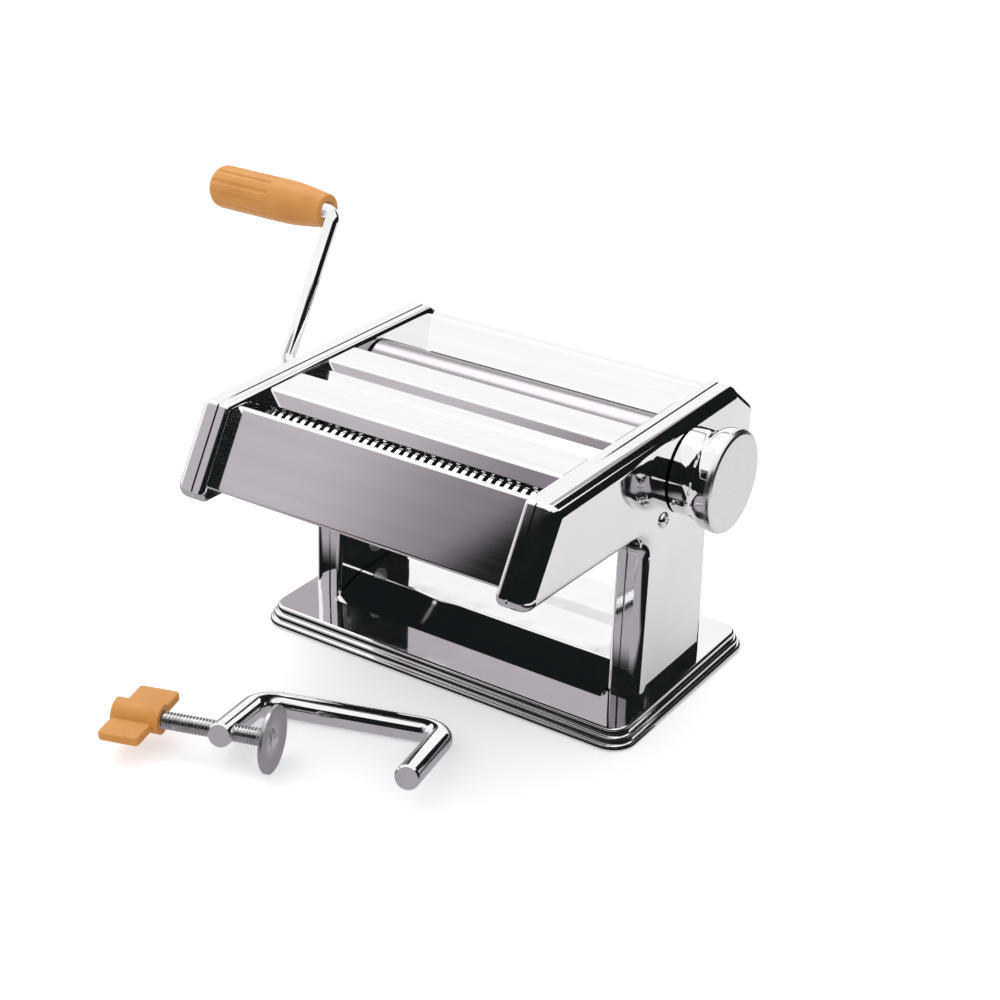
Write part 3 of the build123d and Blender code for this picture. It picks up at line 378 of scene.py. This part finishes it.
# Painted shade: the dark lilac-grey base colour is partly the dull ground steel and partly the shade of
# the slot the rollers sit in.
shade_between(tree, surface, grain(tree, 500.0, 0.0, 1.0, (1.0, 0.02, 0.02)),
              (0.37, 0.345, 0.37), (0.40, 0.375, 0.40))
tree.links.new(grain(tree, 900.0, 0.20, 0.23, (1.0, 0.01, 0.01)), surface.inputs["Roughness"])
relief(tree, surface, grain(tree, 3000.0, 0.0, 1.0, (1.0, 0.004, 0.004)), 0.0000020)
coat_with(roller_satin_and_shade, "roller_front", "roller_rear")

# Cutters: rows of steel discs on a shaft, ground together like the rollers and then nickel plated.
ground_steel, tree, surface = start_finish("ground_steel", 1.0)
shade_between(tree, surface, grain(tree, 500.0, 0.0, 1.0, (1.0, 0.02, 0.02)),
              (0.88, 0.875, 0.88), (0.95, 0.945, 0.95))
tree.links.new(grain(tree, 900.0, 0.06, 0.12, (1.0, 0.01, 0.01)), surface.inputs["Roughness"])
relief(tree, surface, grain(tree, 3000.0, 0.0, 1.0, (1.0, 0.004, 0.004)), 0.0000016)
coat_with(ground_steel, "narrow_cutter_front", "narrow_cutter_rear", "wide_cutter_front",
          "wide_cutter_rear")

# Works inside the side boxes and between the panels: gears, sliding blocks, combs, tie rods, screws
# and nuts in plain zinc-plated steel, dull and a little uneven.
zinc_steel, tree, surface = start_finish("zinc_steel", 1.0)
shade_between(tree, surface, grain(tree, 160.0, 0.0, 1.0), (0.56, 0.56, 0.57), (0.72, 0.72, 0.72))
tree.links.new(grain(tree, 420.0, 0.24, 0.40), surface.inputs["Roughness"])
relief(tree, surface, grain(tree, 1800.0, 0.0, 1.0), 0.000004)
coat_with(zinc_steel, "gear_smooth_front", "gear_smooth_rear", "gear_narrow_front", "gear_narrow_rear",
          "gear_wide_front", "gear_wide_rear", "block_left", "block_right", "comb_narrow_front",
          "comb_narrow_rear", "comb_wide_front", "comb_wide_rear", "tie_rods", "tie_screws", "base_screws",
          "base_nuts", "stop_pin", "clamp_sleeve", "dial_shaft", "dial_spring")

# Bushes and scrapers: moulded nylon, pressed into the plates or clipped under the rollers.
nylon, tree, surface = start_finish("nylon")
shade_between(tree, surface, grain(tree, 120.0, 0.0, 1.0), (0.80, 0.79, 0.75), (0.88, 0.87, 0.84))
tree.links.new(grain(tree, 700.0, 0.38, 0.52), surface.inputs["Roughness"])
surface.inputs["Subsurface Weight"].default_value = 0.15
surface.inputs["Subsurface Radius"].default_value = (0.001, 0.001, 0.0008)
relief(tree, surface, grain(tree, 1600.0, 0.0, 1.0), 0.000006)
coat_with(nylon, "shaft_bushes", "socket_bushes", "dial_bush", "scraper_front", "scraper_rear")

# Feet: black rubber plugs pushed through the base plate, with a fine moulded bloom.
rubber, tree, surface = start_finish("rubber")
shade_between(tree, surface, grain(tree, 200.0, 0.0, 1.0), (0.018, 0.018, 0.019), (0.040, 0.040, 0.041))
tree.links.new(grain(tree, 500.0, 0.62, 0.82), surface.inputs["Roughness"])
relief(tree, surface, grain(tree, 2200.0, 0.0, 1.0), 0.000015)
coat_with(rubber, "base_feet")

# Cover screws: round heads turned from bar and plated bright, one in each outer cover.
screw_chrome, tree, surface = start_finish("screw_chrome", 1.0)
shade_between(tree, surface, grain(tree, 300.0, 0.0, 1.0), (0.80, 0.80, 0.81), (0.93, 0.93, 0.935))
tree.links.new(grain(tree, 800.0, 0.08, 0.16), surface.inputs["Roughness"])
relief(tree, surface, grain(tree, 2600.0, 0.0, 1.0), 0.000002)
coat_with(screw_chrome, "cover_screws")

# Dial: a drawn brass knob with a flared skirt, plated to a mirror. The soft metal moved under the
# polishing wheel, so its reflections run in broad waves.
dial_chrome, tree, surface = start_finish("dial_chrome", 1.0)
shade_between(tree, surface, grain(tree, 40.0, 0.0, 1.0), (0.89, 0.885, 0.89), (0.955, 0.95, 0.955))
tree.links.new(grain(tree, 260.0, 0.02, 0.05), surface.inputs["Roughness"])
relief(tree, surface, grain(tree, 60.0, 0.0, 1.0, detail=1.0), 0.00012)
coat_with(dial_chrome, "dial_knob")

# Dial numbers: seven small figures for the settings, raised from the knob where its skirt starts to
# flare, an eighth of a turn apart. They were struck with the knob and plated with it.
knob_low, knob_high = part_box("dial_knob")
dial_axis = (knob_low + knob_high) / 2
knob_length = knob_high.x - knob_low.x
waist_radius = 0.0199
rim_radius = (knob_high.z - knob_low.z) / 2
flare_start = knob_low.x + 0.36 * knob_length
flare_length = 0.48 * knob_length
figure_count = 7
figure_height = 0.0034
figure_share_of_type = 0.7
figure_rise = 0.00022
figure_place = flare_start + 0.38 * flare_length
first_figure_angle = -45.0
figure_step = 45.0


def skirt_radius(x):
    """Radius of the knob's skirt at a place along its axis."""
    share = min(1.0, max(0.0, (x - flare_start) / flare_length))
    return waist_radius + (rim_radius - waist_radius) * share * share * (3.0 - 2.0 * share)


for number in range(1, figure_count + 1):
    figure_curve = bpy.data.curves.new(f"figure_{number}", "FONT")
    figure_curve.body = str(number)
    figure_curve.size = figure_height / figure_share_of_type
    figure_curve.align_x = "CENTER"
    figure_curve.align_y = "CENTER"
    figure_curve.extrude = figure_rise
    figure_curve.resolution_u = 4
    figure_text = bpy.data.objects.new(f"figure_{number}_text", figure_curve)
    scene.collection.objects.link(figure_text)
    bpy.context.view_layer.update()
    figure_shape = figure_text.evaluated_get(bpy.context.evaluated_depsgraph_get())
    figure_mesh = bpy.data.meshes.new_from_object(figure_shape)
    bpy.data.objects.remove(figure_text)
    angle = math.radians(first_figure_angle + figure_step * (number - 1))
    for vertex in figure_mesh.vertices:
        along, up, out = vertex.co
        x = figure_place + along
        reach = skirt_radius(x) + out
        turn = angle - up / waist_radius
        vertex.co = (x, dial_axis.y + reach * math.cos(turn), dial_axis.z + reach * math.sin(turn))
    figure_mesh.materials.clear()
    figure_mesh.materials.append(dial_chrome)
    figure = bpy.data.objects.new(f"figure_{number}", figure_mesh)
    scene.collection.objects.link(figure)
    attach(figure, "dial")

# Dial cap: a separate turned disc pressed into the knob, left satin from the lathe.
cap_centre = (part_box("dial_cap")[0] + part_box("dial_cap")[1]) / 2
cap_satin, tree, surface = start_finish("cap_satin", 1.0)
place = tree.nodes.new("ShaderNodeTexCoord")
centred = tree.nodes.new("ShaderNodeMapping")
centred.inputs["Location"].default_value = (0.0, -cap_centre.y, -cap_centre.z)
flat = tree.nodes.new("ShaderNodeVectorMath")
flat.operation = "MULTIPLY"
flat.inputs[1].default_value = (0.0, 1.0, 1.0)
off_centre = tree.nodes.new("ShaderNodeVectorMath")
off_centre.operation = "LENGTH"
lathe_lines = tree.nodes.new("ShaderNodeTexNoise")
lathe_lines.noise_dimensions = "1D"
lathe_lines.inputs["Scale"].default_value = 4500.0
tree.links.new(place.outputs["Object"], centred.inputs["Vector"])
tree.links.new(centred.outputs["Vector"], flat.inputs[0])
tree.links.new(flat.outputs["Vector"], off_centre.inputs[0])
tree.links.new(off_centre.outputs["Value"], lathe_lines.inputs["W"])
shade_between(tree, surface, lathe_lines.outputs["Fac"], (0.80, 0.795, 0.80), (0.90, 0.895, 0.90))
tree.links.new(grain(tree, 300.0, 0.20, 0.28), surface.inputs["Roughness"])
relief(tree, surface, lathe_lines.outputs["Fac"], 0.000004)
coat_with(cap_satin, "dial_cap")

# Return spring: three turns of steel wire round the dial's shaft, between the knob's floor and a washer.
# It stands in for the frame's stiff coil.
def joint_named(name):
    """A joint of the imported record."""
    return next(joint for joint in frame["record"]["behaviour"]["joints"] if joint["name"] == name)


def piece_from(name, shape, material, sharp_degrees):
    """Turns a finished bmesh into a smooth piece, with edges past an angle left sharp."""
    mesh = bpy.data.meshes.new(name)
    shape.to_mesh(mesh)
    shape.free()
    mesh.shade_smooth()
    mesh.set_sharp_from_angle(angle=math.radians(sharp_degrees))
    mesh.materials.append(material)
    piece = bpy.data.objects.new(name, mesh)
    scene.collection.objects.link(piece)
    return piece


spring_low, spring_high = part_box("dial_spring")
spring_axis = (spring_low + spring_high) / 2
spring_length = spring_high.x - spring_low.x
wire_radius = 0.0004
wire_sides = 10
coil_radius = (spring_high.z - spring_low.z) / 2 - wire_radius
spring_turns = 3
turn_steps = 28
coil_rise = (spring_length - 2.0 * wire_radius) / (spring_turns * turn_steps)
spring_bm = bmesh.new()
bmesh.ops.create_circle(spring_bm, segments=wire_sides, radius=wire_radius)
bmesh.ops.rotate(spring_bm, verts=spring_bm.verts, matrix=Matrix.Rotation(math.pi / 2, 3, "X"))
bmesh.ops.translate(spring_bm, verts=spring_bm.verts,
                    vec=(spring_low.x + wire_radius, spring_axis.y, spring_axis.z + coil_radius))
bmesh.ops.spin(
    spring_bm, geom=spring_bm.verts[:] + spring_bm.edges[:], cent=spring_axis, axis=(1.0, 0.0, 0.0),
    dvec=(coil_rise, 0.0, 0.0), angle=2.0 * math.pi * spring_turns, steps=spring_turns * turn_steps)
bmesh.ops.holes_fill(spring_bm, edges=spring_bm.edges, sides=wire_sides)
bmesh.ops.recalc_face_normals(spring_bm, faces=spring_bm.faces)
spring_coil = piece_from("spring_coil", spring_bm, zinc_steel, 60.0)
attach(spring_coil, "dial_drive")
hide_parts("dial_spring")
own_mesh(spring_coil)

# Crank and clamp rod: each is one round steel bar bent twice, chromium plated. The crank's end is milled
# square for the sockets.
bar_chrome, tree, surface = start_finish("bar_chrome", 1.0)
shade_between(tree, surface, grain(tree, 60.0, 0.0, 1.0), (0.88, 0.88, 0.885), (0.95, 0.945, 0.95))
tree.links.new(grain(tree, 300.0, 0.03, 0.08), surface.inputs["Roughness"])
relief(tree, surface, grain(tree, 70.0, 0.0, 1.0, detail=1.5), 0.00002)
coat_with(bar_chrome, "crank_arm", "clamp_rod")

# Grip and wing knob: amber plastic moulded in one colour, satin, with a faint flow of lighter tone
# and the fine spark texture of the mould.
amber, tree, surface = start_finish("amber")
shade_between(tree, surface, grain(tree, 55.0, 0.0, 1.0, detail=2.0),
              (0.66, 0.27, 0.045), (0.74, 0.34, 0.075))
tree.links.new(grain(tree, 900.0, 0.36, 0.48), surface.inputs["Roughness"])
surface.inputs["Subsurface Weight"].default_value = 0.12
surface.inputs["Subsurface Radius"].default_value = (0.003, 0.0015, 0.0006)
relief(tree, surface, grain(tree, 2400.0, 0.0, 1.0), 0.000010)
coat_with(amber, "grip", "clamp_wing")

# The plated sheets show no image of the crank and its grip, so mirror rays pass these two by.
for name in ("grip", "crank_arm"):
    solids[name].visible_glossy = False

# Clamp screw: a plain steel bar with a rolled right-hand thread of 1.5 mm pitch, held in the wing knob
# at one end and turned down to a neck that is riveted in the pad at the other.
screw_joint = joint_named("screw_turn")
screw_way = Vector(screw_joint["axis"])
screw_place = Vector(screw_joint["pos_m"])
thread_pitch = 0.0015
thread_crest = 0.0040
thread_root = 0.0033
thread_from = -0.0446
thread_to = 0.0164
neck_to = 0.0200
neck_radius = 0.0025
core_gap = 0.00004
thread_sides = 24
thread_turns = int((thread_to - thread_from) / thread_pitch)
thread_bm = bmesh.new()
tooth = [(thread_root, 0.0), (thread_root, 0.12), (thread_crest, 0.44), (thread_crest, 0.60),
         (thread_root, 0.92), (thread_root, 1.0)]
tooth_points = [thread_bm.verts.new((r, 0.0, thread_from + step * thread_pitch)) for r, step in tooth]
tooth_lines = [thread_bm.edges.new(pair) for pair in zip(tooth_points, tooth_points[1:])]
bmesh.ops.spin(
    thread_bm, geom=tooth_points + tooth_lines, cent=(0.0, 0.0, 0.0), axis=(0.0, 0.0, 1.0),
    dvec=(0.0, 0.0, thread_pitch / thread_sides), angle=2.0 * math.pi * thread_turns,
    steps=thread_sides * thread_turns)
bmesh.ops.remove_doubles(thread_bm, verts=thread_bm.verts, dist=0.00001)
screw_bars = [(thread_root - core_gap, thread_from, thread_to), (neck_radius, thread_to, neck_to)]
for bar_radius, low, high in screw_bars:
    bar = bmesh.ops.create_cone(thread_bm, cap_ends=True, segments=thread_sides, radius1=bar_radius,
                                radius2=bar_radius, depth=high - low)
    bmesh.ops.translate(thread_bm, verts=bar["verts"], vec=(0.0, 0.0, (low + high) / 2))
bmesh.ops.recalc_face_normals(thread_bm, faces=thread_bm.faces)
along_screw = Vector((0.0, 0.0, 1.0)).rotation_difference(screw_way).to_matrix()
bmesh.ops.rotate(thread_bm, verts=thread_bm.verts, matrix=along_screw)
bmesh.ops.translate(thread_bm, verts=thread_bm.verts, vec=screw_place)
thread_steel, tree, surface = start_finish("thread_steel", 1.0)
shade_between(tree, surface, grain(tree, 300.0, 0.0, 1.0), (0.52, 0.52, 0.53), (0.74, 0.74, 0.74))
tree.links.new(grain(tree, 600.0, 0.16, 0.30), surface.inputs["Roughness"])
relief(tree, surface, grain(tree, 1500.0, 0.0, 1.0), 0.000004)
screw_thread = piece_from("screw_thread", thread_bm, thread_steel, 35.0)
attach(screw_thread, "thumbscrew")
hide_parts("clamp_screw")

# Pressure pad: a washer of plain steel, pressed up into a low boss over the screw's riveted end. Its
# colour is lighter in the middle at the boss and darker towards the rim.
pad_steel, tree, surface = start_finish("pad_steel", 0.95)
place = tree.nodes.new("ShaderNodeTexCoord")
from_screw = tree.nodes.new("ShaderNodeMapping")
from_screw.inputs["Location"].default_value = -screw_place
across = tree.nodes.new("ShaderNodeVectorMath")
across.operation = "CROSS_PRODUCT"
across.inputs[1].default_value = screw_way
off_axis = tree.nodes.new("ShaderNodeVectorMath")
off_axis.operation = "LENGTH"
tree.links.new(place.outputs["Object"], from_screw.inputs["Vector"])
tree.links.new(from_screw.outputs["Vector"], across.inputs[0])
tree.links.new(across.outputs["Vector"], off_axis.inputs[0])
rim_share = fade(tree, off_axis.outputs["Value"], 0.0015, 0.0105)
shade_between(tree, surface, rim_share, (0.97, 0.97, 0.97), (0.58, 0.575, 0.59))
tree.links.new(grain(tree, 380.0, 0.28, 0.46), surface.inputs["Roughness"])
relief(tree, surface, grain(tree, 900.0, 0.0, 1.0), 0.000012)
coat_with(pad_steel, "clamp_pad", "clamp_screw")
boss_radius = 0.0036
boss_rise = 0.0011
boss_sides = 32
pad_points = solids["clamp_pad"].data.vertices
pad_face = max((point.co - screw_place).dot(screw_way) for point in pad_points)
boss_bm = bmesh.new()
boss_shape = [(0.0, 1.0), (0.28, 0.97), (0.5, 0.82), (0.68, 0.5), (0.82, 0.2), (1.0, 0.05), (1.0, -0.2),
              (0.0, -0.2)]
boss_points = [boss_bm.verts.new((r * boss_radius, 0.0, h * boss_rise)) for r, h in boss_shape]
boss_lines = [boss_bm.edges.new(pair) for pair in zip(boss_points, boss_points[1:])]
bmesh.ops.spin(boss_bm, geom=boss_points + boss_lines, cent=(0.0, 0.0, 0.0), axis=(0.0, 0.0, 1.0),
               angle=2.0 * math.pi, steps=boss_sides, use_merge=True)
bmesh.ops.remove_doubles(boss_bm, verts=boss_bm.verts, dist=0.00001)
bmesh.ops.recalc_face_normals(boss_bm, faces=boss_bm.faces)
bmesh.ops.rotate(boss_bm, verts=boss_bm.verts, matrix=along_screw)
bmesh.ops.translate(boss_bm, verts=boss_bm.verts, vec=screw_place + pad_face * screw_way)
pad_boss = piece_from("pad_boss", boss_bm, pad_steel, 50.0)
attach(pad_boss, "pad")
